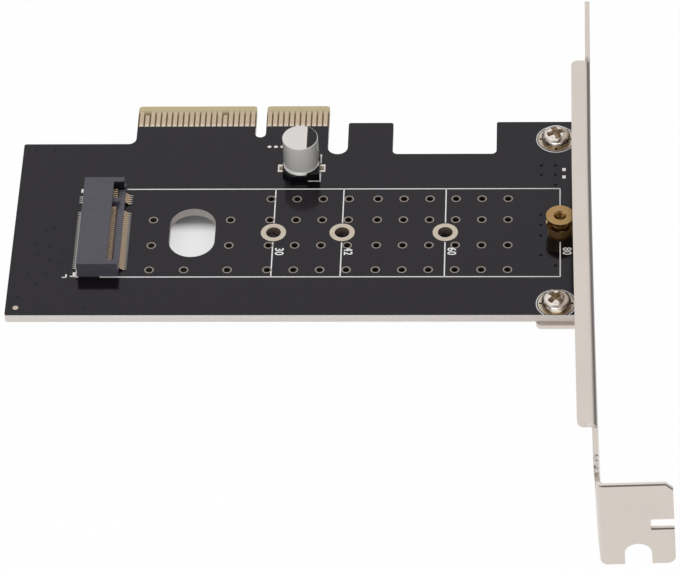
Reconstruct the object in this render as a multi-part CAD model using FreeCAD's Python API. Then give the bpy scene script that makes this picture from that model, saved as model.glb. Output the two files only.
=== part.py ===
import FreeCAD, Part
import math
import os

# Adapter card that carries one M.2 solid-state drive in a four-lane expansion slot, with its
# full-height slot bracket.  One STEP file is written for each piece, in millimetres.
#
# Frame: the board lies flat.  X runs along the contact edge towards the bracket, Y points out of
# the contact edge (the board itself is at negative Y), and Z points out of the component side,
# which is the plane Z = 0.  The origin is the middle of the key notch, on the contact edge.

# ---- board -----------------------------------------------------------------------------------
BOARD_THICKNESS = 1.6
BOARD_LEFT = -42.1            # free end, opposite the bracket
BOARD_TO_BRACKET_GAP = 0.6    # between the board's end and the inside of the bracket
BOARD_DEPTH = 53.8            # from the contact edge to the far long edge
BOARD_CORNER_RADIUS = 0.4
COPPER = 0.05                 # foil and plating, standing on the board

# ---- contact edge: a four-lane card edge with 32 contacts on each side --------------------------
KEY_NOTCH_WIDTH = 1.9
KEY_NOTCH_DEPTH = 8.86
CONTACT_PITCH = 1.0
CONTACT_WIDTH = 0.7
FIRST_CONTACT = 1.5           # from the middle of the key notch
CONTACTS_LONG_SIDE = 21       # away from the bracket
CONTACTS_SHORT_SIDE = 11      # towards the bracket
EDGE_END_MARGIN = 0.65        # from the last contact's centre to the end of the edge tab
CONTACT_INNER_END = 6.0       # from the contact edge
CONTACT_OUTER_END = 2.0
SHORT_CONTACT_OUTER_END = 3.0 # the presence-detect contacts touch last
# which contacts those are: counted from 0 at the notch, first away from the bracket, then towards it
SHORT_ON_COMPONENT_SIDE = (5, 19)
SHORT_ON_SOLDER_SIDE = (31,)
EDGE_CORNER_RADIUS = 0.7
BEVEL_LENGTH = 1.65
BEVEL_DEPTH = 0.6
EDGE_SHOULDER = 10.55         # long edge of the board beside the edge tab
EDGE_SHOULDER_RADIUS = 1.4

# ---- retention hook and the clearances beside it ----------------------------------------------
SLOT_NOTCH_WIDTH = 3.55
SLOT_NOTCH_DEPTH = 13.3
HOOK_WIDTH = 8.0
HOOK_TOP = 5.15
CUTOUT_WIDTH = 18.45
CUTOUT_RADIUS = 0.9
CORNER_BLOCK_TOP = 5.0

# ---- drive positions: M.2 lengths measured from the socket's datum -------------------------------
SOCKET_DATUM_X = -26.6
DRIVE_AXIS_Y = -33.4
DRIVE_LENGTHS = (30.0, 42.0, 60.0, 80.0)
STANDOFF_LENGTH = 80.0        # the position that the standoff is fitted in
POSITION_HOLE_RADIUS = 1.3
POSITION_LAND_RADIUS = 2.2
COOLING_SLOT_X = -10.8
COOLING_SLOT_WIDTH = 8.0
COOLING_SLOT_LENGTH = 12.1

# ---- plated through holes ----------------------------------------------------------------------
VIA_LAND_RADIUS = 0.75
VIA_HOLE_RADIUS = 0.45
VIA_SIDES = 8                 # drawn many-sided, so that the whole field of them stays light
VIA_PITCH = 4.572
VIA_TOP_ROW = 8.5             # rows, from the drive axis
VIA_MIDDLE_ROW = 3.2
VIA_BOTTOM_ROW = 9.3
VIA_NEAR_FIELD_X = 2.66       # first column of each field
VIA_NEAR_FIELD_COLUMNS = 4
VIA_FAR_FIELD_X = 21.45
VIA_FAR_FIELD_COLUMNS = 6
VIA_SLOT_LEFT_X = -17.8       # beside the cooling slot, not in the top row
VIA_SLOT_RIGHT_X = -4.25
VIA_BELOW_SLOT_X = -11.8      # bottom row only

# ---- bracket: one sheet, folded -----------------------------------------------------------------
SHEET = 0.86
BEND_INSIDE_RADIUS = 0.4
BRACKET_OUTER_X = 58.9
BRACKET_HIGH_EDGE = 14.71     # above the component side
BRACKET_WIDTH = 18.42
BRACKET_LENGTH = 121.0        # from the screw tab's seat to the tip of the tongue
SCREW_TAB_SEAT_Y = -106.2
TONGUE_WIDTH = 10.19
TONGUE_SHOULDER_Y = 4.9
TONGUE_CORNER_RADIUS = 0.5
FLANGE_START_Y = -5.06
FLANGE_LENGTH = 88.4
FLANGE_REACH = 3.3            # outside of the bracket to the free edge
FLANGE_CORNER_RADIUS = 1.2
BEND_RELIEF = 1.0
NECK_NOTCH_LENGTH = 6.4       # from the screw tab's seat
NECK_NOTCH_DEPTH = 4.3
SCREW_TAB_REACH = 11.43       # outside of the bracket to the free edge
SCREW_TAB_CHAMFER = 1.2
SCREW_TAB_CORNER_RADIUS = 1.5
SCREW_SLOT_WIDTH = 4.42
SCREW_SLOT_FROM_EDGE = 6.05
SCREW_SLOT_DEPTH = 4.78
SIDE_NOTCH_REACH = 3.8
SIDE_NOTCH_HEIGHT = 2.5
SIDE_NOTCH_Z = 4.3

# ---- tabs that hold the board, and their screws ---------------------------------------------------
BOARD_SCREW_FROM_BRACKET = 5.34
UPPER_SCREW_FROM_EDGE = 4.56  # from the board's edge beside the bracket
LOWER_SCREW_FROM_EDGE = 2.76  # from the board's far long edge
BOARD_TAB_WIDTH = 7.32
BOARD_TAB_PAST_SCREW = 3.85
BOARD_TAB_RADIUS = 1.0
SCREW_RADIUS = 1.5
SCREW_HOLE_CLEARANCE = 0.1
SCREW_HEAD_RADIUS = 2.55
SCREW_HEAD_HEIGHT = 1.75
SCREW_POINT_CHAMFER = 0.3
# (share of the head's radius, share of its height) up the side of the pan head
SCREW_HEAD_PROFILE = ((1.0, 0.0), (1.0, 0.32), (0.93, 0.62), (0.76, 0.88), (0.5, 1.0))
SCREW_TIP_BELOW_TAB = 0.8
RECESS_SPAN = 2.9
RECESS_SLOT_WIDTH = 0.75
RECESS_DEPTH = 1.1
RECESS_TURNS = (20, 45)       # how far each screw's recess happens to be turned, in degrees
SCREW_LAND_RADIUS = 3.17

# ---- standoff and its nut --------------------------------------------------------------------------
STANDOFF_HEIGHT = 4.1         # above the component side
STANDOFF_DISC_RADIUS = 2.45
STANDOFF_DISC_THICKNESS = 0.4
STANDOFF_WAIST_RADIUS = 1.6   # the notch in the drive's end goes round it
STANDOFF_WAIST_HEIGHT = 1.15
STANDOFF_FLANGE_THICKNESS = 0.2
STANDOFF_FOOT_RADIUS = 1.75   # the body tapers down to this at the board
STANDOFF_SHANK_RADIUS = 1.25
STANDOFF_THREAD_RADIUS = 0.8
STANDOFF_THREAD_DEPTH = 3.4
STANDOFF_COUNTERSINK = 0.35
NUT_ACROSS_FLATS = 4.0
NUT_HEIGHT = 1.1
SHANK_PAST_NUT = 0.25

# ---- drive socket ----------------------------------------------------------------------------------
SOCKET_WIDTH = 21.9           # along Y
SOCKET_HEIGHT = 3.1
SOCKET_BACK_X = -30.2
COVER_FRONT_X = -25.0
SOCKET_ARM_FRONT_X = -23.2
SOCKET_ARM_WIDTH = 1.1
LOWER_JAW_FRONT_X = -23.05
LOWER_JAW_TOP = 1.2
FRONT_WALL = 1.1              # of the lower jaw, in front of its open contact chambers
MOUTH_HEIGHT = 1.05
MOUTH_BACK_X = -29.0
UPPER_CHANNEL = 0.35          # room for the upper contacts, above the mouth
KEY_RIB_OFFSET = 6.125        # from the drive axis
KEY_RIB_WIDTH = 1.0
KEY_RIB_FRONT_X = -23.85
PIN_SPACING = 0.25            # odd and even pins alternate, each row at twice this pitch
LAST_PIN = 75
KEY_PINS = range(59, 67)
PIN_WIDTH = 0.25
PIN_THICKNESS = 0.14
UPPER_TAIL_END_X = -31.1
UPPER_BEND_X = -26.2          # from here the upper contacts slope down into the mouth
LOWER_TAIL_END_X = -21.9
LOWER_TAIL_BEND_X = -22.35
LOWER_TAIL_EXIT = 0.6         # height at which the lower contacts leave the front wall
LOWER_CREST_X = -24.5
LOWER_CREST_HEIGHT = 1.75
PEG_RADIUS = 0.55
PEG_CLEARANCE = 0.05
PEG_LENGTH = 1.2
PEG_X = -26.4
PEG_SPREAD = 9.0              # from the drive axis
HOLD_DOWN_THICKNESS = 0.2
HOLD_DOWN_WIDTH = 0.9
REAR_HOLD_DOWN_FOOT = 0.8
FRONT_HOLD_DOWN_HEIGHT = 1.6
REAR_HOLD_DOWN_HEIGHT = 0.9

# ---- electrolytic capacitor --------------------------------------------------------------------------
CAPACITOR_X = 7.7
CAPACITOR_Y = -17.0
CAN_RADIUS = 3.15
CAN_TOP = 7.3
CAN_EDGE_CHAMFER = 0.25
CAN_GROOVE_RADIUS = 2.9
CAN_FOOT_HEIGHT = 0.45
CAN_GROOVE_HEIGHT = 0.5
BASE_SIDE = 6.6
BASE_THICKNESS = 0.85
BASE_CHAMFER = 1.5
BASE_POST_HEIGHT = 0.6        # posts beside the can, at the two square corners
BASE_POST_START = 1.1         # from the can's axis
BASE_POST_CLEARANCE = 0.08
TERMINAL_WIDTH = 0.7
TERMINAL_THICKNESS = 0.15
TERMINAL_INNER = 1.0
TERMINAL_OUTER = 3.95
CAPACITOR_PAD_INNER = 1.0
CAPACITOR_PAD_OUTER = 4.2
CAPACITOR_PAD_WIDTH = 1.9

# ---- small bare pads -----------------------------------------------------------------------------
TEST_PAD_SIZE = (0.62, 0.42)
TEST_PADS = ((1.75, -11.4), (2.9, -11.4), (4.05, -11.4))
END_PAD_SIZE = (0.6, 0.75)
END_PADS_FROM_EDGE = 3.34     # from the board's end beside the bracket
END_PAD_YS = (-17.5, -19.4)
FIDUCIAL_RADIUS = 0.5
FIDUCIAL_FROM_EDGES = 1.8     # from the board's free end and from its far long edge

# ---- places worked out from the sizes above ---------------------------------------------------------
BOARD_UNDERSIDE = -BOARD_THICKNESS
BRACKET_INNER_X = BRACKET_OUTER_X - SHEET
BRACKET_LOW_EDGE = BRACKET_HIGH_EDGE - BRACKET_WIDTH
BOARD_RIGHT = BRACKET_INNER_X - BOARD_TO_BRACKET_GAP
BEND_OUTSIDE_RADIUS = BEND_INSIDE_RADIUS + SHEET
EDGE_LEFT = -(FIRST_CONTACT + (CONTACTS_LONG_SIDE - 1) * CONTACT_PITCH + EDGE_END_MARGIN)
EDGE_RIGHT = FIRST_CONTACT + (CONTACTS_SHORT_SIDE - 1) * CONTACT_PITCH + EDGE_END_MARGIN
STANDOFF_X = SOCKET_DATUM_X + STANDOFF_LENGTH
BOARD_SCREW_X = BRACKET_INNER_X - BOARD_SCREW_FROM_BRACKET
BOARD_SCREW_YS = (-CORNER_BLOCK_TOP - UPPER_SCREW_FROM_EDGE, LOWER_SCREW_FROM_EDGE - BOARD_DEPTH)
MOUTH_TOP = LOWER_JAW_TOP + MOUTH_HEIGHT
FRONT_WALL_BACK_X = LOWER_JAW_FRONT_X - FRONT_WALL


# ---- shape helpers ------------------------------------------------------------------------------------
def box(x0, x1, y0, y1, z0, z1):
    """A block between two corners."""
    return Part.makeBox(x1 - x0, y1 - y0, z1 - z0, FreeCAD.Vector(x0, y0, z0))


def rod(radius, x, y, z0, z1):
    """An upright cylinder."""
    return Part.makeCylinder(radius, z1 - z0, FreeCAD.Vector(x, y, z0))


def tube(outer, inner, x, y, z0, z1):
    """An upright pipe."""
    return rod(outer, x, y, z0, z1).cut(rod(inner, x, y, z0, z1))


def prism(radius, sides, x, y, z0, z1):
    """An upright bar with flat sides, whose corners lie at the radius."""
    angles = [2 * math.pi * k / sides for k in range(sides)]
    corners = [(x + radius * math.cos(angle), y + radius * math.sin(angle), 0)
               for angle in angles]
    return slab(corners, z0, z1)


def turned(profile, x, y):
    """A closed (radius, height) outline turned about an upright axis."""
    points = [FreeCAD.Vector(x + radius, y, z) for radius, z in profile]
    face = Part.Face(Part.makePolygon(points + points[:1]))
    return face.revolve(FreeCAD.Vector(x, y, 0), FreeCAD.Vector(0, 0, 1), 360)


def outline(corners):
    """A flat face whose corners are (x, y, radius); a radius of zero leaves the corner sharp."""
    stations = []
    for index, (x, y, radius) in enumerate(corners):
        corner = FreeCAD.Vector(x, y, 0)
        before = FreeCAD.Vector(*corners[index - 1][:2], 0) - corner
        after = FreeCAD.Vector(*corners[(index + 1) % len(corners)][:2], 0) - corner
        if radius == 0:
            stations.append((corner, None, corner))
            continue
        half_angle = before.getAngle(after) / 2
        before.normalize()
        after.normalize()
        bisector = before + after
        bisector.normalize()
        setback = radius / math.tan(half_angle)
        middle = corner + bisector * (radius / math.sin(half_angle) - radius)
        stations.append((corner + before * setback, middle, corner + after * setback))
    edges = []
    for index, (start, middle, end) in enumerate(stations):
        previous_end = stations[index - 1][2]
        if previous_end.distanceToPoint(start) > 1e-6:
            edges.append(Part.makeLine(previous_end, start))
        if middle is not None:
            edges.append(Part.Arc(start, middle, end).toShape())
    return Part.Face(Part.Wire(Part.__sortEdges__(edges)))


def slab(corners, z0, z1):
    """An outline given thickness in Z."""
    solid = outline(corners).extrude(FreeCAD.Vector(0, 0, z1 - z0))
    solid.translate(FreeCAD.Vector(0, 0, z0))
    return solid


def rectangle(x0, x1, y0, y1, radius=0):
    """Corners of a rectangle, for outline and slab."""
    return [(x0, y0, radius), (x1, y0, radius), (x1, y1, radius), (x0, y1, radius)]


def strip(path, thickness, y0, y1):
    """Flat stock bent along an (x, z) path, given width in Y."""
    lines = [FreeCAD.Vector(x, y0, z) for x, z in path]
    sides = ([], [])
    for index, point in enumerate(lines):
        ahead = lines[min(index + 1, len(lines) - 1)] - lines[min(index, len(lines) - 2)]
        behind = lines[max(index, 1)] - lines[max(index - 1, 0)]
        ahead.normalize()
        behind.normalize()
        tangent = ahead + behind
        tangent.normalize()
        normal = FreeCAD.Vector(-tangent.z, 0, tangent.x)
        reach = thickness / 2 / tangent.dot(ahead)
        sides[0].append(point + normal * reach)
        sides[1].append(point - normal * reach)
    points = sides[0] + sides[1][::-1]
    face = Part.Face(Part.makePolygon(points + points[:1]))
    return face.extrude(FreeCAD.Vector(0, y1 - y0, 0))


def fold_along_y(centre_x, centre_z, inside, start_angle, y0, y1):
    """A quarter turn of sheet whose bend line runs along Y."""
    outside = inside + SHEET
    cylinders = [
        Part.makeCylinder(radius, y1 - y0, FreeCAD.Vector(centre_x, y0, centre_z),
                          FreeCAD.Vector(0, 1, 0), 360)
        for radius in (outside, inside)
    ]
    ring = cylinders[0].cut(cylinders[1])
    quadrant = box(0, outside, y0, y1, 0, outside)
    quadrant.rotate(FreeCAD.Vector(0, 0, 0), FreeCAD.Vector(0, 1, 0), -start_angle)
    quadrant.translate(FreeCAD.Vector(centre_x, 0, centre_z))
    return ring.common(quadrant)


def fused(shapes):
    """One clean solid from pieces that touch."""
    return shapes[0].fuse(shapes[1:]).removeSplitter()


# ---- positions that repeat -------------------------------------------------------------------------
def via_places():
    """Centres of the plated through holes."""
    places = []
    fields = ((VIA_NEAR_FIELD_X, VIA_NEAR_FIELD_COLUMNS),
              (VIA_FAR_FIELD_X, VIA_FAR_FIELD_COLUMNS))
    for offset in (VIA_TOP_ROW, VIA_MIDDLE_ROW, -VIA_MIDDLE_ROW, -VIA_BOTTOM_ROW):
        y = DRIVE_AXIS_Y + offset
        for start, columns in fields:
            places += [(start + column * VIA_PITCH, y) for column in range(columns)]
        if offset != VIA_TOP_ROW:
            places += [(VIA_SLOT_LEFT_X, y), (VIA_SLOT_RIGHT_X, y)]
    places.append((VIA_BELOW_SLOT_X, DRIVE_AXIS_Y - VIA_BOTTOM_ROW))
    return places


def position_places():
    """Centres of the holes that a standoff can be fitted in, with the drive length of each."""
    return [(length, SOCKET_DATUM_X + length, DRIVE_AXIS_Y) for length in DRIVE_LENGTHS]


def peg_places():
    """Centres of the socket's locating pegs."""
    return [(PEG_X, DRIVE_AXIS_Y + side * PEG_SPREAD) for side in (-1, 1)]


def pin_places(remainder):
    """Y positions of the socket's odd (1) or even (0) pins, without those at the key."""
    middle_pin = (1 + LAST_PIN) / 2
    return [DRIVE_AXIS_Y + (pin - middle_pin) * PIN_SPACING
            for pin in range(1, LAST_PIN + 1)
            if pin % 2 == remainder and pin not in KEY_PINS]


def pin_groups(remainder):
    """The spans in Y of the rows of pins on each side of the key."""
    places = pin_places(remainder)
    key_y = DRIVE_AXIS_Y + KEY_RIB_OFFSET
    groups = ([y for y in places if y < key_y], [y for y in places if y > key_y])
    margin = PIN_WIDTH
    return [(min(group) - margin, max(group) + margin) for group in groups]


# ---- board ---------------------------------------------------------------------------------------------
def circuit_board():
    """Laminate with its contact edge, hook, cut-outs, holes and bevel."""
    half_key = KEY_NOTCH_WIDTH / 2
    slot_notch_right = EDGE_RIGHT + SLOT_NOTCH_WIDTH
    hook_right = slot_notch_right + HOOK_WIDTH
    cutout_right = hook_right + CUTOUT_WIDTH
    corner = BOARD_CORNER_RADIUS
    board = slab([
        (BOARD_LEFT, -BOARD_DEPTH, corner),
        (BOARD_RIGHT, -BOARD_DEPTH, corner),
        (BOARD_RIGHT, -CORNER_BLOCK_TOP, corner),
        (cutout_right, -CORNER_BLOCK_TOP, corner),
        (cutout_right, -SLOT_NOTCH_DEPTH, CUTOUT_RADIUS),
        (hook_right, -SLOT_NOTCH_DEPTH, CUTOUT_RADIUS),
        (hook_right, -HOOK_TOP, corner),
        (slot_notch_right, -HOOK_TOP, corner),
        (slot_notch_right, -SLOT_NOTCH_DEPTH, SLOT_NOTCH_WIDTH / 2),
        (EDGE_RIGHT, -SLOT_NOTCH_DEPTH, SLOT_NOTCH_WIDTH / 2),
        (EDGE_RIGHT, 0, EDGE_CORNER_RADIUS),
        (half_key, 0, EDGE_CORNER_RADIUS),
        (half_key, -KEY_NOTCH_DEPTH, half_key),
        (-half_key, -KEY_NOTCH_DEPTH, half_key),
        (-half_key, 0, EDGE_CORNER_RADIUS),
        (EDGE_LEFT, 0, EDGE_CORNER_RADIUS),
        (EDGE_LEFT, -EDGE_SHOULDER, EDGE_SHOULDER_RADIUS),
        (BOARD_LEFT, -EDGE_SHOULDER, corner),
    ], BOARD_UNDERSIDE, 0)
    holes = [prism(VIA_LAND_RADIUS, VIA_SIDES, x, y, BOARD_UNDERSIDE, 0)
             for x, y in via_places()]
    holes += [rod(POSITION_LAND_RADIUS, x, y, BOARD_UNDERSIDE, 0)
              for _, x, y in position_places()]
    holes += [rod(SCREW_RADIUS + SCREW_HOLE_CLEARANCE, BOARD_SCREW_X, y, BOARD_UNDERSIDE, 0)
              for y in BOARD_SCREW_YS]
    holes += [rod(PEG_RADIUS + PEG_CLEARANCE, x, y, BOARD_UNDERSIDE, 0) for x, y in peg_places()]
    half_width = COOLING_SLOT_WIDTH / 2
    holes.append(slab(rectangle(COOLING_SLOT_X - half_width, COOLING_SLOT_X + half_width,
                                DRIVE_AXIS_Y - COOLING_SLOT_LENGTH / 2,
                                DRIVE_AXIS_Y + COOLING_SLOT_LENGTH / 2, half_width),
                      BOARD_UNDERSIDE, 0))
    return board.cut(holes + edge_bevels())


def edge_bevels():
    """The two wedges taken off the contact edge, one on each face."""
    wedges = []
    for face, inward in ((0, -1), (BOARD_UNDERSIDE, 1)):
        section = [(-BEVEL_LENGTH, face), (0, face), (0, face + inward * BEVEL_DEPTH)]
        points = [FreeCAD.Vector(EDGE_LEFT, y, z) for y, z in section]
        wedge = Part.Face(Part.makePolygon(points + points[:1]))
        wedges.append(wedge.extrude(FreeCAD.Vector(EDGE_RIGHT - EDGE_LEFT, 0, 0)))
    return wedges


def edge_contacts(z0, short_positions):
    """One side's row of contacts; those counted in short_positions start further in."""
    centres = [-FIRST_CONTACT - k * CONTACT_PITCH for k in range(CONTACTS_LONG_SIDE)]
    centres += [FIRST_CONTACT + k * CONTACT_PITCH for k in range(CONTACTS_SHORT_SIDE)]
    contacts = []
    for number, x in enumerate(centres):
        outer = SHORT_CONTACT_OUTER_END if number in short_positions else CONTACT_OUTER_END
        contacts.append(box(x - CONTACT_WIDTH / 2, x + CONTACT_WIDTH / 2,
                            -CONTACT_INNER_END, -outer, z0, z0 + COPPER))
    return Part.makeCompound(contacts)


def plated_vias():
    """Plated through holes, each as one eyelet."""
    low = BOARD_UNDERSIDE - COPPER
    return Part.makeCompound([
        prism(VIA_LAND_RADIUS, VIA_SIDES, x, y, low, COPPER).cut(
            prism(VIA_HOLE_RADIUS, VIA_SIDES, x, y, low, COPPER))
        for x, y in via_places()])


def position_ring(x, y):
    """Plated ring round a standoff hole, through the board and proud of both faces."""
    return tube(POSITION_LAND_RADIUS, POSITION_HOLE_RADIUS, x, y,
                BOARD_UNDERSIDE - COPPER, COPPER)


def screw_land(y):
    """Copper land under a board screw's head, cut off where it meets the board's long edge."""
    land = tube(SCREW_LAND_RADIUS, SCREW_RADIUS + SCREW_HOLE_CLEARANCE,
                BOARD_SCREW_X, y, 0, COPPER)
    return land.common(box(BOARD_LEFT, BOARD_RIGHT, COPPER - BOARD_DEPTH, 0, 0, COPPER))


def flat_pads(places, size):
    """Rectangular pads on the component side."""
    width, length = size
    return [box(x - width / 2, x + width / 2, y - length / 2, y + length / 2, 0, COPPER)
            for x, y in places]


# ---- bracket -------------------------------------------------------------------------------------------
def bracket():
    """The slot bracket: plate, tongue, stiffening flange, board tabs and screw tab, in one sheet."""
    sheet = fused([bracket_plate(), stiffening_flange(), screw_tab()]
                  + [board_tab(y) for y in BOARD_SCREW_YS])
    holes = [rod(SCREW_RADIUS, BOARD_SCREW_X, y, BOARD_UNDERSIDE - SHEET, BOARD_UNDERSIDE)
             for y in BOARD_SCREW_YS]
    return sheet.cut(holes)


def bracket_plate():
    """The flat plate with its tongue, neck notch and the reliefs at each fold."""
    tip_y = SCREW_TAB_SEAT_Y + BRACKET_LENGTH
    shoulder = (BRACKET_WIDTH - TONGUE_WIDTH) / 2
    near_y = SCREW_TAB_SEAT_Y + BEND_INSIDE_RADIUS
    notch_y = SCREW_TAB_SEAT_Y + NECK_NOTCH_LENGTH
    notch_floor = BRACKET_HIGH_EDGE - NECK_NOTCH_DEPTH
    corners = [
        (near_y, BRACKET_LOW_EDGE, 0),
        (TONGUE_SHOULDER_Y, BRACKET_LOW_EDGE, 0),
        (TONGUE_SHOULDER_Y + shoulder, BRACKET_LOW_EDGE + shoulder, 0),
        (tip_y, BRACKET_LOW_EDGE + shoulder, TONGUE_CORNER_RADIUS),
        (tip_y, BRACKET_HIGH_EDGE - shoulder, TONGUE_CORNER_RADIUS),
        (TONGUE_SHOULDER_Y + shoulder, BRACKET_HIGH_EDGE - shoulder, 0),
        (TONGUE_SHOULDER_Y, BRACKET_HIGH_EDGE, 0),
        (notch_y, BRACKET_HIGH_EDGE, 0),
        (notch_y, notch_floor, BEND_INSIDE_RADIUS),
        (near_y, notch_floor, 0),
    ]
    plate = slab(corners, 0, SHEET)
    plate.rotate(FreeCAD.Vector(0, 0, 0), FreeCAD.Vector(1, 0, 0), 90)
    plate.rotate(FreeCAD.Vector(0, 0, 0), FreeCAD.Vector(0, 0, 1), 90)
    plate.translate(FreeCAD.Vector(BRACKET_INNER_X, 0, 0))
    flange_fold = BRACKET_HIGH_EDGE - BEND_OUTSIDE_RADIUS
    reliefs = [box(BRACKET_INNER_X, BRACKET_OUTER_X,
                   FLANGE_START_Y - FLANGE_LENGTH - BEND_RELIEF, FLANGE_START_Y + BEND_RELIEF,
                   flange_fold, BRACKET_HIGH_EDGE)]
    tab_fold = BOARD_UNDERSIDE + BEND_INSIDE_RADIUS
    reach = BOARD_TAB_WIDTH / 2 + BEND_RELIEF
    reliefs += [box(BRACKET_INNER_X, BRACKET_OUTER_X, y - reach, y + reach,
                    BRACKET_LOW_EDGE, tab_fold)
                for y in BOARD_SCREW_YS]
    return plate.cut(reliefs)


def stiffening_flange():
    """The long fold over the component side."""
    y0 = FLANGE_START_Y - FLANGE_LENGTH
    y1 = FLANGE_START_Y
    fold_x = BRACKET_OUTER_X - BEND_OUTSIDE_RADIUS
    fold_z = BRACKET_HIGH_EDGE - BEND_OUTSIDE_RADIUS
    free_x = BRACKET_OUTER_X - FLANGE_REACH
    radius = FLANGE_CORNER_RADIUS
    flat = slab([(free_x, y0, radius), (fold_x, y0, 0), (fold_x, y1, 0), (free_x, y1, radius)],
                BRACKET_HIGH_EDGE - SHEET, BRACKET_HIGH_EDGE)
    return flat.fuse(fold_along_y(fold_x, fold_z, BEND_INSIDE_RADIUS, 0, y0, y1))


def board_tab(y):
    """A tab folded under the board, around one of its screws."""
    y0 = y - BOARD_TAB_WIDTH / 2
    y1 = y + BOARD_TAB_WIDTH / 2
    fold_x = BRACKET_INNER_X - BEND_INSIDE_RADIUS
    fold_z = BOARD_UNDERSIDE + BEND_INSIDE_RADIUS
    free_x = BOARD_SCREW_X - BOARD_TAB_PAST_SCREW
    radius = BOARD_TAB_RADIUS
    flat = slab([(free_x, y0, radius), (fold_x, y0, 0), (fold_x, y1, 0), (free_x, y1, radius)],
                BOARD_UNDERSIDE - SHEET, BOARD_UNDERSIDE)
    return flat.fuse(fold_along_y(fold_x, fold_z, BEND_INSIDE_RADIUS, -90, y0, y1))


def screw_tab():
    """The tab that a chassis screw clamps, with its open slot and side notch."""
    fold_x = BRACKET_OUTER_X + BEND_INSIDE_RADIUS
    fold_y = SCREW_TAB_SEAT_Y + BEND_INSIDE_RADIUS
    free_x = BRACKET_OUTER_X + SCREW_TAB_REACH
    slot_x = free_x - SCREW_SLOT_FROM_EDGE
    half_slot = SCREW_SLOT_WIDTH / 2
    slot_top = BRACKET_LOW_EDGE + SCREW_SLOT_DEPTH
    notch_x = free_x - SIDE_NOTCH_REACH
    tab = slab([
        (fold_x, BRACKET_LOW_EDGE, 0),
        (slot_x - half_slot, BRACKET_LOW_EDGE, 0),
        (slot_x - half_slot, slot_top, half_slot),
        (slot_x + half_slot, slot_top, half_slot),
        (slot_x + half_slot, BRACKET_LOW_EDGE, 0),
        (free_x, BRACKET_LOW_EDGE, SCREW_TAB_CORNER_RADIUS),
        (free_x, SIDE_NOTCH_Z, 0),
        (notch_x, SIDE_NOTCH_Z, 0),
        (notch_x, SIDE_NOTCH_Z + SIDE_NOTCH_HEIGHT, 0),
        (free_x, SIDE_NOTCH_Z + SIDE_NOTCH_HEIGHT, 0),
        (free_x, BRACKET_HIGH_EDGE - SCREW_TAB_CHAMFER, 0),
        (free_x - SCREW_TAB_CHAMFER, BRACKET_HIGH_EDGE, 0),
        (fold_x, BRACKET_HIGH_EDGE, 0),
    ], 0, SHEET)
    tab.rotate(FreeCAD.Vector(0, 0, 0), FreeCAD.Vector(1, 0, 0), 90)
    tab.translate(FreeCAD.Vector(0, SCREW_TAB_SEAT_Y, 0))
    fold = tube(BEND_OUTSIDE_RADIUS, BEND_INSIDE_RADIUS, fold_x, fold_y,
                BRACKET_LOW_EDGE, BRACKET_HIGH_EDGE)
    quadrant = box(fold_x - BEND_OUTSIDE_RADIUS, fold_x, fold_y - BEND_OUTSIDE_RADIUS, fold_y,
                   BRACKET_LOW_EDGE, BRACKET_HIGH_EDGE)
    return tab.fuse(fold.common(quadrant))


# ---- fasteners -----------------------------------------------------------------------------------------
def board_screw(y, turn):
    """Pan-head screw with a cross recess, down through the board into its tab."""
    seat = COPPER
    crown = seat + SCREW_HEAD_HEIGHT
    tip = BOARD_UNDERSIDE - SHEET - SCREW_TIP_BELOW_TAB
    head = [(SCREW_HEAD_RADIUS * across, seat + SCREW_HEAD_HEIGHT * up)
            for across, up in SCREW_HEAD_PROFILE]
    screw = turned([
        (0, tip),
        (SCREW_RADIUS - SCREW_POINT_CHAMFER, tip),
        (SCREW_RADIUS, tip + SCREW_POINT_CHAMFER),
        (SCREW_RADIUS, seat),
    ] + head + [(0, crown)], BOARD_SCREW_X, y)
    recess = cross_recess(crown, turn)
    recess.translate(FreeCAD.Vector(BOARD_SCREW_X, y, 0))
    return screw.cut(recess)


def cross_recess(crown, turn):
    """Two tapered blades that meet at a right angle."""
    floor = crown - RECESS_DEPTH
    half = RECESS_SLOT_WIDTH / 2
    blades = []
    for angle in (turn, turn + 90):
        section = [(-RECESS_SPAN / 2, crown), (RECESS_SPAN / 2, crown),
                   (RECESS_SPAN / 6, floor), (-RECESS_SPAN / 6, floor)]
        points = [FreeCAD.Vector(x, -half, z) for x, z in section]
        blade = Part.Face(Part.makePolygon(points + points[:1]))
        blade = blade.extrude(FreeCAD.Vector(0, RECESS_SLOT_WIDTH, 0))
        blade.rotate(FreeCAD.Vector(0, 0, 0), FreeCAD.Vector(0, 0, 1), angle)
        blades.append(blade)
    return blades[0].fuse(blades[1])


def standoff():
    """Turned brass standoff: disc, waist, flange, tapered body and a shank through the board."""
    disc_low = STANDOFF_HEIGHT - STANDOFF_DISC_THICKNESS
    waist_low = disc_low - STANDOFF_WAIST_HEIGHT
    thread_end = STANDOFF_HEIGHT - STANDOFF_THREAD_DEPTH
    shank_end = BOARD_UNDERSIDE - COPPER - NUT_HEIGHT - SHANK_PAST_NUT
    return turned([
        (0, shank_end),
        (STANDOFF_SHANK_RADIUS, shank_end),
        (STANDOFF_SHANK_RADIUS, COPPER),
        (STANDOFF_FOOT_RADIUS, COPPER),
        (STANDOFF_DISC_RADIUS, waist_low - STANDOFF_FLANGE_THICKNESS),
        (STANDOFF_DISC_RADIUS, waist_low),
        (STANDOFF_WAIST_RADIUS, waist_low),
        (STANDOFF_WAIST_RADIUS, disc_low),
        (STANDOFF_DISC_RADIUS, disc_low),
        (STANDOFF_DISC_RADIUS, STANDOFF_HEIGHT),
        (STANDOFF_THREAD_RADIUS + STANDOFF_COUNTERSINK, STANDOFF_HEIGHT),
        (STANDOFF_THREAD_RADIUS, STANDOFF_HEIGHT - STANDOFF_COUNTERSINK),
        (STANDOFF_THREAD_RADIUS, thread_end),
        (0, thread_end),
    ], STANDOFF_X, DRIVE_AXIS_Y)


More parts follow.
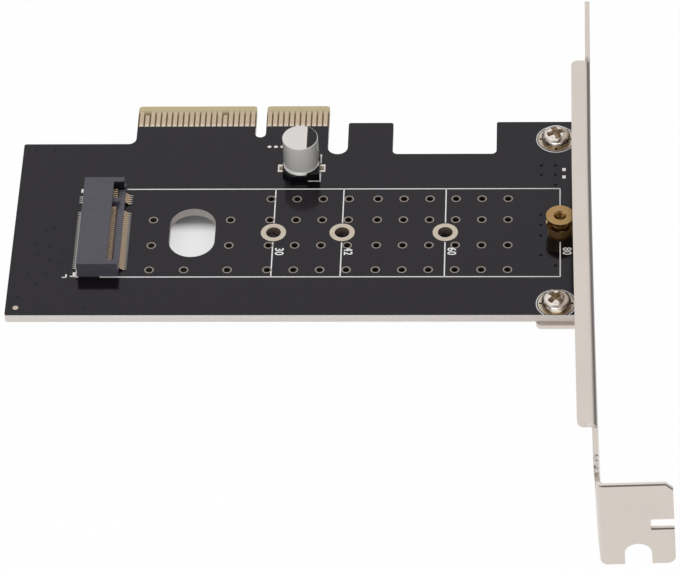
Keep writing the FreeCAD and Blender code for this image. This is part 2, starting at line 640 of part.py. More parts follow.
def standoff_nut():
    """Hexagon nut on the standoff's shank, against the solder side."""
    top = BOARD_UNDERSIDE - COPPER
    low = top - NUT_HEIGHT
    nut = prism(NUT_ACROSS_FLATS / math.sqrt(3), 6, STANDOFF_X, DRIVE_AXIS_Y, low, top)
    return nut.cut(rod(STANDOFF_SHANK_RADIUS, STANDOFF_X, DRIVE_AXIS_Y, low, top))


# ---- drive socket --------------------------------------------------------------------------------------
def socket_housing():
    """Moulded body: keyed mouth, open contact chambers, end arms and locating pegs."""
    y0 = DRIVE_AXIS_Y - SOCKET_WIDTH / 2
    y1 = DRIVE_AXIS_Y + SOCKET_WIDTH / 2
    inner0 = y0 + SOCKET_ARM_WIDTH
    inner1 = y1 - SOCKET_ARM_WIDTH
    key0 = DRIVE_AXIS_Y + KEY_RIB_OFFSET - KEY_RIB_WIDTH / 2
    key1 = DRIVE_AXIS_Y + KEY_RIB_OFFSET + KEY_RIB_WIDTH / 2
    tail_low = LOWER_TAIL_EXIT - PIN_THICKNESS / 2
    tail_high = LOWER_TAIL_EXIT + PIN_THICKNESS / 2
    body = [
        box(SOCKET_BACK_X, COVER_FRONT_X, y0, y1, 0, SOCKET_HEIGHT),
        box(COVER_FRONT_X, LOWER_JAW_FRONT_X, inner0, inner1, 0, LOWER_JAW_TOP),
        box(COVER_FRONT_X, SOCKET_ARM_FRONT_X, y0, inner0, 0, SOCKET_HEIGHT),
        box(COVER_FRONT_X, SOCKET_ARM_FRONT_X, inner1, y1, 0, SOCKET_HEIGHT),
        box(COVER_FRONT_X, KEY_RIB_FRONT_X, key0, key1, LOWER_JAW_TOP, MOUTH_TOP),
    ]
    body += [rod(PEG_RADIUS, x, y, -PEG_LENGTH, 0) for x, y in peg_places()]
    cuts = [box(MOUTH_BACK_X, COVER_FRONT_X, low, high, LOWER_JAW_TOP, MOUTH_TOP)
            for low, high in ((inner0, key0), (key1, inner1))]
    for low, high in pin_groups(0):
        cuts.append(box(SOCKET_BACK_X, COVER_FRONT_X, low, high,
                        MOUTH_TOP, MOUTH_TOP + UPPER_CHANNEL))
        cuts.append(box(SOCKET_BACK_X, SOCKET_BACK_X + PIN_THICKNESS, low, high,
                        0, MOUTH_TOP + UPPER_CHANNEL))
    for low, high in pin_groups(1):
        cuts.append(box(MOUTH_BACK_X, FRONT_WALL_BACK_X, low, high, tail_low, LOWER_JAW_TOP))
        cuts.append(box(FRONT_WALL_BACK_X, LOWER_JAW_FRONT_X, low, high, tail_low, tail_high))
    return fused(body).cut(cuts)


def upper_contacts():
    """Contacts above the mouth, with tails behind the socket."""
    half = PIN_THICKNESS / 2
    riser_x = SOCKET_BACK_X + half
    beam_z = MOUTH_TOP + UPPER_CHANNEL - half
    path = [
        (UPPER_TAIL_END_X, half),
        (riser_x, half),
        (riser_x, beam_z),
        (UPPER_BEND_X, beam_z),
        (COVER_FRONT_X - UPPER_CHANNEL, MOUTH_TOP - half),
    ]
    return Part.makeCompound([strip(path, PIN_THICKNESS, y - PIN_WIDTH / 2, y + PIN_WIDTH / 2)
                              for y in pin_places(0)])


def lower_contacts():
    """Contacts below the mouth, with tails in front of the socket."""
    half = PIN_THICKNESS / 2
    path = [
        (LOWER_TAIL_END_X, half),
        (LOWER_TAIL_BEND_X, half),
        (LOWER_JAW_FRONT_X + PIN_THICKNESS, LOWER_TAIL_EXIT),
        (FRONT_WALL_BACK_X - PIN_THICKNESS, LOWER_TAIL_EXIT),
        (LOWER_CREST_X, LOWER_CREST_HEIGHT - half),
        (MOUTH_BACK_X + PIN_THICKNESS, LOWER_TAIL_EXIT + half),
    ]
    return Part.makeCompound([strip(path, PIN_THICKNESS, y - PIN_WIDTH / 2, y + PIN_WIDTH / 2)
                              for y in pin_places(1)])


def hold_downs():
    """Solder tabs at the socket's corners: plain ones in front, ones with a foot at the back."""
    half = HOLD_DOWN_THICKNESS / 2
    front = [
        (SOCKET_ARM_FRONT_X + half, 0),
        (SOCKET_ARM_FRONT_X + half, FRONT_HOLD_DOWN_HEIGHT),
    ]
    rear = [
        (SOCKET_BACK_X - half, REAR_HOLD_DOWN_HEIGHT),
        (SOCKET_BACK_X - half, half),
        (SOCKET_BACK_X - REAR_HOLD_DOWN_FOOT, half),
    ]
    tabs = []
    for side in (-1, 1):
        y = DRIVE_AXIS_Y + side * (SOCKET_WIDTH - HOLD_DOWN_WIDTH) / 2
        tabs += [strip(path, HOLD_DOWN_THICKNESS, y - HOLD_DOWN_WIDTH / 2, y + HOLD_DOWN_WIDTH / 2)
                 for path in (front, rear)]
    return Part.makeCompound(tabs)


# ---- capacitor -----------------------------------------------------------------------------------------
BASE_LOW = COPPER + TERMINAL_THICKNESS
CAN_LOW = BASE_LOW + BASE_THICKNESS


def capacitor_can():
    """Drawn aluminium can with its crimp groove and bevelled crown."""
    groove_low = CAN_LOW + CAN_FOOT_HEIGHT
    groove_high = groove_low + CAN_GROOVE_HEIGHT
    slope = (CAN_RADIUS - CAN_GROOVE_RADIUS) / 2
    return turned([
        (0, CAN_LOW),
        (CAN_RADIUS, CAN_LOW),
        (CAN_RADIUS, groove_low),
        (CAN_GROOVE_RADIUS, groove_low + slope),
        (CAN_GROOVE_RADIUS, groove_high - slope),
        (CAN_RADIUS, groove_high),
        (CAN_RADIUS, CAN_TOP - CAN_EDGE_CHAMFER),
        (CAN_RADIUS - CAN_EDGE_CHAMFER, CAN_TOP),
        (0, CAN_TOP),
    ], CAPACITOR_X, CAPACITOR_Y)


def capacitor_base():
    """Moulded base; two cut corners mark the positive side, and the square ones have posts."""
    half = BASE_SIDE / 2
    left = CAPACITOR_X - half
    right = CAPACITOR_X + half
    low = CAPACITOR_Y - half
    high = CAPACITOR_Y + half
    cut = BASE_CHAMFER
    post_x = CAPACITOR_X + BASE_POST_START
    post_top = CAN_LOW + BASE_POST_HEIGHT
    base = fused([
        slab([(left, low + cut, 0), (left + cut, low, 0), (right, low, 0),
              (right, high, 0), (left + cut, high, 0), (left, high - cut, 0)], BASE_LOW, CAN_LOW),
        box(post_x, right, low, CAPACITOR_Y - BASE_POST_START, CAN_LOW, post_top),
        box(post_x, right, CAPACITOR_Y + BASE_POST_START, high, CAN_LOW, post_top),
    ])
    well = rod(CAN_RADIUS + BASE_POST_CLEARANCE, CAPACITOR_X, CAPACITOR_Y, CAN_LOW, post_top)
    return base.cut(well)


def capacitor_terminals():
    """Flat leads under the base, one to each side."""
    y0 = CAPACITOR_Y - TERMINAL_WIDTH / 2
    y1 = CAPACITOR_Y + TERMINAL_WIDTH / 2
    return Part.makeCompound([
        box(CAPACITOR_X + inner, CAPACITOR_X + outer, y0, y1, COPPER, BASE_LOW)
        for inner, outer in ((TERMINAL_INNER, TERMINAL_OUTER), (-TERMINAL_OUTER, -TERMINAL_INNER))])


def capacitor_pads():
    """Solder pads under the capacitor's leads."""
    y0 = CAPACITOR_Y - CAPACITOR_PAD_WIDTH / 2
    y1 = CAPACITOR_Y + CAPACITOR_PAD_WIDTH / 2
    return Part.makeCompound([
        box(CAPACITOR_X + inner, CAPACITOR_X + outer, y0, y1, 0, COPPER)
        for inner, outer in ((CAPACITOR_PAD_INNER, CAPACITOR_PAD_OUTER),
                             (-CAPACITOR_PAD_OUTER, -CAPACITOR_PAD_INNER))])


# ---- everything, by node name -----------------------------------------------------------------------
def all_pieces():
    """Each piece of the assembly under its own name."""
    pieces = {
        "circuit_board": circuit_board(),
        "edge_contacts_component_side": edge_contacts(0, SHORT_ON_COMPONENT_SIDE),
        "edge_contacts_solder_side": edge_contacts(BOARD_UNDERSIDE - COPPER,
                                                   SHORT_ON_SOLDER_SIDE),
        "plated_vias": plated_vias(),
        "screw_land_upper": screw_land(BOARD_SCREW_YS[0]),
        "screw_land_lower": screw_land(BOARD_SCREW_YS[1]),
        "bare_pads": Part.makeCompound(
            flat_pads(TEST_PADS, TEST_PAD_SIZE)
            + flat_pads([(BOARD_RIGHT - END_PADS_FROM_EDGE, y) for y in END_PAD_YS],
                        END_PAD_SIZE)),
        "fiducial_mark": rod(FIDUCIAL_RADIUS, BOARD_LEFT + FIDUCIAL_FROM_EDGES,
                             FIDUCIAL_FROM_EDGES - BOARD_DEPTH, 0, COPPER),
        "socket_housing": socket_housing(),
        "socket_upper_contacts": upper_contacts(),
        "socket_lower_contacts": lower_contacts(),
        "socket_hold_downs": hold_downs(),
        "capacitor_can": capacitor_can(),
        "capacitor_base": capacitor_base(),
        "capacitor_terminals": capacitor_terminals(),
        "capacitor_pads": capacitor_pads(),
        "bracket": bracket(),
        "bracket_screw_upper": board_screw(BOARD_SCREW_YS[0], RECESS_TURNS[0]),
        "bracket_screw_lower": board_screw(BOARD_SCREW_YS[1], RECESS_TURNS[1]),
        "standoff": standoff(),
        "standoff_nut": standoff_nut(),
    }
    for length, x, y in position_places():
        pieces["position_ring_%dmm" % length] = position_ring(x, y)
    return pieces


os.makedirs("parts", exist_ok=True)
for name, shape in all_pieces().items():
    shape.exportStep("parts/%s.step" % name)
    print("%-32s solids %3d  volume %9.3f  valid %s"
          % (name, len(shape.Solids), shape.Volume, shape.isValid()))
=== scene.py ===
import math

import bmesh
import bpy
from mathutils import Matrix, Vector

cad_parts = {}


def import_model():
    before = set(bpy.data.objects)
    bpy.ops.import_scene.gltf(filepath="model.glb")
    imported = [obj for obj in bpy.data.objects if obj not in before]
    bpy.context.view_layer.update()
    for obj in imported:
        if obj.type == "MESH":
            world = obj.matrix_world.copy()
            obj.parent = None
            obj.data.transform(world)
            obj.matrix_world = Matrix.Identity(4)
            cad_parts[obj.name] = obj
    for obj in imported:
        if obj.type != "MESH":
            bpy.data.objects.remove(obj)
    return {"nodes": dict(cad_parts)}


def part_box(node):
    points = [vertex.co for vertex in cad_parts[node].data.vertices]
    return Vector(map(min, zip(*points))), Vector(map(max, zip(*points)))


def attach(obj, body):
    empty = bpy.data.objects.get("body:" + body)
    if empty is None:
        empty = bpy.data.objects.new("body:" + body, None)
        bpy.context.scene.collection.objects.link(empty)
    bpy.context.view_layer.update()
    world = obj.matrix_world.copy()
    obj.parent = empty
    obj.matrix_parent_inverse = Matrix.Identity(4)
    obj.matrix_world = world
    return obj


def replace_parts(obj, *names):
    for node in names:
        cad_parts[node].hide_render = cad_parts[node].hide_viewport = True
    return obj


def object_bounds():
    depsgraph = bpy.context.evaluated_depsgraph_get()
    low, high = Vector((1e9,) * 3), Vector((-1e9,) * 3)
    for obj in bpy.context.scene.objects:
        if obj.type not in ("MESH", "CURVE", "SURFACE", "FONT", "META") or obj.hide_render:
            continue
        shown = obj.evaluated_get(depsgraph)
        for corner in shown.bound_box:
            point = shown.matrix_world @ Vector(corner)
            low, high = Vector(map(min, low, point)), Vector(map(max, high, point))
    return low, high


# Looks for the drive adapter card, on the CAD frame.  Lengths below are millimetres in the row
# frame (X along the contact edge, Y out of it, Z out of the component side) and turn into metres
# where a mesh is made.

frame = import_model()
cad_low, cad_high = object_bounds()
MM = 0.001


def extent(node):
    """Lowest and highest corner of a CAD node, in millimetres."""
    low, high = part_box(node)
    return [v / MM for v in low], [v / MM for v in high]


# ---- sizes that the looks share with the solids ---------------------------------------------
BOARD_LOW = extent("circuit_board")[0]
UNDERSIDE = BOARD_LOW[2]
EDGE_TAB_LEFT, EDGE_TAB_RIGHT = -22.15, 12.15
MASK_LINE = -6.05            # bare laminate lies between this line and the contact edge
BEVEL_LINE = -1.65
CONTACT_END = -5.9           # inner end of the gold contacts
DRIVE_Y = -33.4              # middle line of the drive, its socket and its holes
HOLES = [3.4, 15.4, 33.4, 53.4]
HOLE_NAMES = ["30", "42", "60", "80"]
COOLING_SLOT = (-10.8, DRIVE_Y)
VIA_ROWS = [-24.9, -30.2, -36.6, -42.7]
VIA_STEP = 4.572
VIA_GROUPS = ((2.66, 4), (21.45, 6))     # first column and number of columns
VIA_LEFT = [-17.8, -4.25]    # more columns, which the first row doesn't have
VIA_ODD_X = -11.8            # one more in the last row
VIA_BORE, VIA_RIM = 0.63, 0.82
TEST_PADS_X, TEST_PADS_Y = (1.75, 2.9, 4.05), -11.4
SCREWS = [(52.7, -9.56), (52.7, -51.04)]
SHEET = 0.86                 # thickness of the bracket
FLANGE_CLEAR_X = 57.6        # right of the flange's foot, on the bracket's plate
TAB_Y = -105.9               # the outward tab lies below this line
# Painted shade: this dark line stands for the sheet's shaded edge face.
TAB_SHADE_Y = -107.44       # dark line along the tab's sheared edge
NECK_Y = -98.9               # the neck's notch lies below this line
WALL_X, WALL_TOP = -24.1, 1.3    # low wall in front of the socket's contacts
SOCKET_FRONT_X, SOCKET_REAR_X = -22.0, -30.98    # feet of the socket's two rows
PIN_PITCH = 0.5
CAP_X, CAP_Y, CAP_RADIUS = 7.7, -17.0, 3.15
PRINT = 0.03                 # thickness of the white print
AXIS = 0.001                 # radius of a turned shape at its own axis
# Vias closed by the mask, near the bracket and left of the socket.
TENTED = ((50.0, -29.0), (50.0, -31.5), (50.0, -34.2), (50.0, -39.1), (50.0, -44.4),
          (52.6, -41.7), (50.1, -16.4), (52.6, -16.4), (50.1, -18.8), (52.6, -18.8),
          (52.6, -21.4))
FAINT = ((-36.5, -12.2), (-39.8, -12.2), (-35.2, -32.1), (-36.4, -32.8), (-38.2, -36.1),
         (-35.6, -36.8), (-33.4, -38.4), (-37.6, -38.7), (-35.2, -40.2), (-33.2, -41.1),
         (-38.7, -43.7), (-35.7, -43.7), (-37.3, -46.0), (-40.2, -49.2), (-28.6, -52.0))


# ---- materials ------------------------------------------------------------------------------
def srgb(red, green, blue):
    """Linear colour from 0-255 display values."""
    def linear(value):
        value /= 255
        return value / 12.92 if value <= 0.04045 else ((value + 0.055) / 1.055) ** 2.4
    return (linear(red), linear(green), linear(blue), 1.0)


class Graph:
    """Small helper round one material's node tree."""

    def __init__(self, name):
        self.material = bpy.data.materials.new(name)
        self.material.use_nodes = True
        self.tree = self.material.node_tree
        self.shader = self.tree.nodes["Principled BSDF"]

    def node(self, kind, **inputs):
        made = self.tree.nodes.new(kind)
        for key, value in inputs.items():
            self.feed(made, key, value)
        return made

    def feed(self, node, key, value):
        """Sets or links an input, which is named, or counted as i0, i1, i2."""
        by_number = key[0] == "i" and key[1:].isdigit()
        socket = node.inputs[int(key[1:]) if by_number else key]
        if isinstance(value, bpy.types.NodeSocket):
            self.tree.links.new(value, socket)
        else:
            socket.default_value = value

    def math(self, operation, first, second=0.0, third=0.0):
        made = self.node("ShaderNodeMath", i0=first, i1=second, i2=third)
        made.operation = operation
        return made.outputs[0]

    def over(self, value, limit):
        return self.math("GREATER_THAN", value, limit)

    def under(self, value, limit):
        return self.math("LESS_THAN", value, limit)

    def near(self, value, middle, reach):
        return self.math("COMPARE", value, middle, reach)

    def times(self, *factors):
        """The product of the factors: 1 where every one of them is."""
        product = factors[0]
        for factor in factors[1:]:
            product = self.math("MULTIPLY", product, factor)
        return product

    def ramp(self, value, start, full):
        """0 at the start value, 1 at the full one and straight in between."""
        return self.node("ShaderNodeMapRange", Value=value, i1=start, i2=full).outputs[0]

    def vector(self, operation, first, second=(0.0, 0.0, 0.0)):
        made = self.node("ShaderNodeVectorMath", i0=first, i1=second)
        made.operation = operation
        return made.outputs

    def mix(self, factor, first, second):
        made = self.tree.nodes.new("ShaderNodeMix")
        made.data_type = "RGBA"
        for key, value in (("i0", factor), ("i6", first), ("i7", second)):
            self.feed(made, key, value)
        return made.outputs[2]

    def place(self):
        """Position in millimetres, as separate X, Y and Z sockets."""
        where = self.tree.nodes.new("ShaderNodeTexCoord")
        scaled = self.tree.nodes.new("ShaderNodeVectorMath")
        scaled.operation = "SCALE"
        self.tree.links.new(where.outputs["Object"], scaled.inputs[0])
        scaled.inputs["Scale"].default_value = 1 / MM
        self.where = scaled.outputs[0]
        return self.node("ShaderNodeSeparateXYZ", Vector=self.where).outputs

    def noise(self, scale, detail=3.0, vector=None):
        made = self.node("ShaderNodeTexNoise", Scale=scale, Detail=detail)
        if vector is None:
            self.place()
            vector = self.where
        self.tree.links.new(vector, made.inputs["Vector"])
        return made.outputs["Fac"]

    def bump(self, height, strength, distance):
        made = self.node("ShaderNodeBump", Strength=strength, Distance=distance * MM,
                         Height=height)
        self.tree.links.new(made.outputs[0], self.shader.inputs["Normal"])

    def set(self, **values):
        names = {"color": "Base Color", "metallic": "Metallic", "rough": "Roughness",
                 "specular": "Specular IOR Level", "ior": "IOR", "tint": "Specular Tint"}
        for key, value in values.items():
            self.feed(self.shader, names[key], value)


def spread(graph, middle, amount, scale):
    """Roughness that wanders a little about its middle value."""
    return graph.math("MULTIPLY_ADD", graph.noise(scale), amount * 2, middle - amount)


def plain(name, color, metallic, rough, wander, scale, grain=0.0, grain_scale=6.0, **more):
    """A material of one colour, with slight wear in its gloss and a fine grain."""
    graph = Graph(name)
    graph.set(metallic=metallic, rough=spread(graph, rough, wander, scale), **more)
    tone = graph.noise(scale * 0.7, 2.0)
    darker = tuple(v * 0.93 for v in color[:3]) + (1.0,)
    graph.set(color=graph.mix(tone, darker, color))
    if grain:
        graph.bump(graph.noise(grain_scale, 4.0), grain, 0.02)
    return graph.material


def split_normal(graph):
    """The surface's own direction, as X, Y and Z sockets."""
    normal = graph.tree.nodes.new("ShaderNodeNewGeometry").outputs["Normal"]
    return graph.node("ShaderNodeSeparateXYZ", Vector=normal).outputs


def less_metal(graph, factor, loss, base=1.0):
    """Metallic share, which the factor lowers by the loss."""
    return graph.math("MULTIPLY_ADD", factor, -loss, base)


def mask_material():
    """Board: black mask on both faces, bare laminate at the contact edge and on cut edges, with
    painted shade on the cut wall of the cooling slot.
    """
    graph = Graph("solder_mask")
    x, y = graph.place()[:2]
    up = graph.math("ABSOLUTE", split_normal(graph)[2])
    is_cut = graph.under(up, 0.5)
    past_mask = graph.over(y, MASK_LINE)
    in_tab = graph.times(graph.over(x, EDGE_TAB_LEFT - 0.3), graph.under(x, EDGE_TAB_RIGHT + 0.3))
    is_bare = graph.times(past_mask, in_tab)
    to_bevel = graph.ramp(y, BEVEL_LINE - 1.3, BEVEL_LINE)
    tone = graph.noise(0.35, 3.0, graph.where)
    mask = graph.mix(tone, srgb(13, 10, 14), srgb(19, 15, 20))
    fibre = graph.noise(1.5, 4.0, graph.where)
    laminate = graph.mix(fibre, srgb(92, 74, 52), srgb(118, 98, 70))
    bare = graph.mix(to_bevel, laminate, srgb(200, 186, 146))
    weave = graph.noise(4.0, 2.0, graph.where)
    cut = graph.mix(weave, srgb(206, 199, 193), srgb(244, 238, 233))
    cut = graph.mix(is_bare, cut, srgb(196, 187, 160))
    slot_x, slot_y = COOLING_SLOT
    # Painted shade: the cut wall inside the cooling slot is the same laminate, coloured darker.
    slot_wall_shade = graph.times(graph.near(x, slot_x, 6.0), graph.near(y, slot_y, 7.5))
    cut = graph.mix(slot_wall_shade, cut, srgb(176, 169, 165))
    faces = graph.mix(is_bare, mask, bare)
    graph.set(color=graph.mix(is_cut, faces, cut))
    plain_part = graph.math("MAXIMUM", is_cut, is_bare)
    gloss = graph.math("MULTIPLY_ADD", graph.noise(1.2, 2.0, graph.where), 0.05, 0.1)
    graph.set(rough=graph.math("MULTIPLY_ADD", plain_part, 0.5, gloss), metallic=0.0, ior=1.385,
              tint=(0.95, 0.9, 1.0, 1.0))
    return graph.material


def contact_material():
    """Gold contacts, paler at their inner ends."""
    graph = Graph("gold_contact")
    y = graph.place()[1]
    inner = graph.ramp(y, CONTACT_END + 0.7, CONTACT_END)
    along = graph.vector("MULTIPLY", graph.where, (3.0, 0.6, 1.0))[0]
    gold = graph.mix(graph.noise(1.0, 3.0, along), srgb(186, 165, 142), srgb(213, 194, 169))
    graph.set(color=graph.mix(inner, gold, srgb(222, 212, 198)), metallic=1.0,
              rough=spread(graph, 0.36, 0.06, 0.9))
    return graph.material


def land_material():
    """Plated lands and rings: pale on the flat, with painted shade, dull brown, down the wall of
    the hole.
    """
    graph = Graph("land_gold")
    up = graph.math("ABSOLUTE", split_normal(graph)[2])
    # Painted shade down the hole's wall: the same plating, coloured dull brown and less metallic.
    shaded_wall = graph.under(up, 0.4)
    flat = graph.mix(graph.noise(1.2, 3.0), srgb(190, 178, 160), srgb(214, 204, 188))
    wall = graph.mix(graph.noise(3.0, 3.0), srgb(94, 78, 70), srgb(132, 116, 106))
    graph.set(color=graph.mix(shaded_wall, flat, wall), rough=spread(graph, 0.36, 0.06, 1.2),
              metallic=less_metal(graph, shaded_wall, 0.8))
    return graph.material


def housing_material():
    """Socket body: satin plastic, with fine slits across the low wall before its contacts painted
    as dark lines of shade, and painted shade at one end, where it is recessed."""
    graph = Graph("socket_plastic")
    x, y, z = graph.place()
    in_wall = graph.times(graph.over(x, WALL_X), graph.under(z, WALL_TOP),
                          graph.near(y, DRIVE_Y, 9.8))
    # The slits are painted as dark stripes: painted shade, since the wall has no gaps.
    phase = graph.math("FRACT", graph.math("MULTIPLY_ADD", y, 1 / PIN_PITCH, 0.3))
    slit_shade = graph.times(in_wall, graph.under(phase, 0.36))
    body = graph.mix(graph.noise(0.8, 3.0, graph.where), srgb(72, 71, 80), srgb(86, 84, 94))
    body = graph.mix(in_wall, body, srgb(112, 112, 124))
    # Painted shade: a dark patch where the socket's end is recessed.
    pocket_shade = graph.times(graph.near(y, DRIVE_Y + 10.1, 0.5), graph.under(z, 2.95),
                            graph.near(x, -24.9, 1.7))
    body = graph.mix(pocket_shade, body, srgb(20, 19, 25))
    graph.set(color=graph.mix(slit_shade, body, srgb(8, 8, 10)), metallic=0.0, ior=1.4,
              rough=spread(graph, 0.38, 0.05, 1.0))
    graph.bump(graph.noise(9.0, 4.0), 0.1, 0.02)
    return graph.material


def pin_material(name, top, side):
    """Small contacts: bright on top, dark on the sides, where each one shades the next."""
    graph = Graph(name)
    sideways = graph.math("ABSOLUTE", split_normal(graph)[1])
    is_side = graph.ramp(sideways, 0.35, 0.6)
    graph.set(color=graph.mix(is_side, top, side), metallic=0.1,
              rough=spread(graph, 0.34, 0.05, 3.0))
    return graph.material


def hold_down_material():
    """Hold-downs: bright with solder at the rear, dull beside the mouth."""
    graph = Graph("hold_down")
    at_mouth = graph.over(graph.place()[0], -25.0)
    graph.set(color=graph.mix(at_mouth, srgb(232, 227, 222), srgb(104, 102, 110)), metallic=0.6,
              rough=spread(graph, 0.3, 0.05, 3.0))
    return graph.material


def steel_material():
    """Satin plated sheet, with a painted dark reflection round its long fold and paler sheared
    edges:
    a painted shade line runs along the tab's, and dark patches of painted shade mark the neck's
    notch."""
    graph = Graph("plated_steel")
    across, out, up = split_normal(graph)
    # Painted dark reflection on faces turned between +X and up, round the fold.
    fold_reflection = graph.times(graph.ramp(across, 0.45, 0.72), graph.ramp(up, 0.1, 0.3))
    sheet = graph.mix(graph.noise(0.15, 3.0), srgb(211, 202, 194), srgb(218, 209, 201))
    color = graph.mix(fold_reflection, sheet, srgb(102, 96, 92))
    x, y = graph.place()[:2]
    on_tab = graph.times(graph.under(y, TAB_Y), graph.over(up, 0.25))
    in_cut = graph.times(graph.under(out, -0.5), graph.over(x, FLANGE_CLEAR_X),
                         graph.over(y, TAB_Y))
    # Painted shade: dark patches on the near cut faces below the neck, where the notch is.
    notch_shade = graph.ramp(graph.noise(1.1, 2.0), 0.5, 0.62)
    notch_shade = graph.times(notch_shade, graph.under(y, NECK_Y))
    cut_and_notch_shade = graph.mix(notch_shade, srgb(238, 233, 229), srgb(136, 124, 118))
    color = graph.mix(in_cut, color, cut_and_notch_shade)
    # Painted shade: a dark line along the tab's top, where its edge face is in shade.
    edge_shade_line = graph.ramp(graph.math("ABSOLUTE", graph.math("ADD", y, -TAB_SHADE_Y)), 0.26, 0.14)
    sheared = graph.mix(edge_shade_line, srgb(226, 219, 213), srgb(100, 84, 78))
    graph.set(color=graph.mix(on_tab, color, sheared), rough=spread(graph, 0.3, 0.03, 0.12),
              metallic=less_metal(graph, graph.math("MAXIMUM", on_tab, in_cut), 0.9))
    graph.bump(graph.noise(1.2, 4.0), 0.05, 0.02)
    return graph.material


def screw_material():
    """Bright nickel, with painted shade in the recess, painted dark reflections on the flanks of
    the head and a painted golden reflection round its foot.
    """
    graph = Graph("screw_nickel")
    z = graph.place()[2]
    across, out, up = split_normal(graph)
    reach = []
    for screw_x, screw_y in SCREWS:
        apart = graph.vector("SUBTRACT", graph.where, (screw_x, screw_y, 0.0))[0]
        flat = graph.vector("MULTIPLY", apart, (1.0, 1.0, 0.0))[0]
        reach.append(graph.vector("LENGTH", flat)["Value"])
    radius = graph.math("MINIMUM", reach[0], reach[1])
    # Painted shade in the cross recess, dull brown and less metallic.
    recess_shade = graph.times(graph.under(radius, 1.65), graph.ramp(z, 1.72, 1.5))
    # Painted dark reflections on the head's flanks, in patches.
    flank_reflection = graph.times(graph.ramp(graph.math("ABSOLUTE", across), 0.2, 0.5),
                        graph.ramp(up, 0.9, 0.7), graph.ramp(out, 0.35, 0.05))
    patch = graph.ramp(graph.noise(1.6, 2.0, graph.where), 0.38, 0.55)
    flank_reflection = graph.times(flank_reflection, graph.math("MULTIPLY_ADD", patch, 0.5, 0.5))
    # Painted golden reflection of the land round the head's foot.
    foot = graph.ramp(z, 0.75, 0.4)
    metal = graph.mix(foot, srgb(232, 224, 216), srgb(205, 180, 146))
    metal = graph.mix(graph.times(flank_reflection, 0.9), metal, srgb(84, 64, 50))
    recess_shade_color = graph.mix(patch, srgb(196, 174, 146), srgb(150, 128, 104))
    graph.set(color=graph.mix(recess_shade, metal, recess_shade_color), rough=spread(graph, 0.16, 0.05, 2.0),
              metallic=less_metal(graph, recess_shade, 0.8))
    return graph.material


def brass_material():
    """Turned brass: bright top, a painted highlight on the collar, painted shade in the waist, and
    duller down the body.
    """
    graph = Graph("standoff_brass")
    z = graph.place()[2]
    collar_foot, waist_foot, waist_top = 2.32, 2.58, 3.66
    # Painted shade in the waist under the top disc, and a painted highlight on the collar.
    waist_shade = graph.times(graph.over(z, waist_foot), graph.under(z, waist_top))
    is_body = graph.under(z, collar_foot)
    collar_highlight = graph.times(graph.over(z, collar_foot), graph.under(z, waist_foot))
    top = graph.mix(graph.noise(0.5, 3.0), srgb(158, 125, 78), srgb(178, 147, 102))
    color = graph.mix(waist_shade, top, srgb(120, 98, 68))
    color = graph.mix(is_body, color, srgb(158, 126, 80))
    color = graph.mix(collar_highlight, color, srgb(190, 164, 120))
    graph.set(color=color, metallic=less_metal(graph, is_body, 0.35),
              rough=graph.math("MULTIPLY_ADD", is_body, 0.2, 0.18))
    graph.bump(graph.noise(4.0, 4.0), 0.05, 0.02)
    return graph.material


def can_material():
    """Capacitor can: satin side, with painted shade to left and right and a painted highlight at
    the foot; pale crown.
    """
    graph = Graph("can_aluminium")
    across, _, up = split_normal(graph)
    is_crown = graph.over(up, 0.6)
    # Painted shade towards the left and right sides, and a painted highlight on the crimped foot.
    foot_highlight = graph.under(graph.place()[2], 1.5)
    edge = graph.math("POWER", graph.math("ABSOLUTE", across), 3.0)
    side = graph.mix(graph.noise(1.0, 3.0), srgb(226, 225, 221), srgb(238, 237, 233))
    side = graph.mix(graph.times(edge, 0.75), side, srgb(120, 119, 118))
    side = graph.mix(foot_highlight, side, srgb(253, 252, 250))
    graph.set(color=graph.mix(is_crown, side, srgb(226, 221, 218)),
              metallic=graph.math("MULTIPLY_ADD", is_crown, 0.1, 0.2),
              rough=graph.math("MULTIPLY_ADD", is_crown, 0.1, 0.34))
    return graph.material


# Plain looks: colour, metallic share, roughness, its wander, and the scale of the wander in 1/mm.
PLAIN_LOOKS = {
    "tinned_copper": ((168, 158, 150), 1.0, 0.38, 0.06, 2.0),
    # Via barrels: the same plating as the rims, painted dark as shade.
    "barrel_shade": ((54, 44, 40), 0.2, 0.5, 0.06, 2.0),
    "base_plastic": ((17, 17, 20), 0.0, 0.14, 0.04, 2.0),
    "solder_tin": ((222, 216, 210), 1.0, 0.25, 0.06, 3.0, 0.1, 5.0),
    # Thread in the bore: darker brass, painted shade.
    "thread_brass_shaded": ((150, 112, 62), 1.0, 0.18, 0.05, 3.0),
    "pad_white": ((252, 250, 248), 0.4, 0.35, 0.05, 3.0),
    "lead_dull": ((150, 136, 122), 1.0, 0.4, 0.05, 3.0),
    "ring_shaded": ((92, 74, 46), 1.0, 0.45, 0.05, 3.0),
    "solder_white": ((252, 248, 244), 0.15, 0.3, 0.05, 3.0),
    "pad_tan": ((204, 190, 177), 1.0, 0.35, 0.05, 3.0),
    "print_white": ((246, 246, 246), 0.0, 0.5, 0.04, 2.0),
}
MATERIALS = {name: plain(name, srgb(*rgb), *rest) for name, (rgb, *rest) in PLAIN_LOOKS.items()}
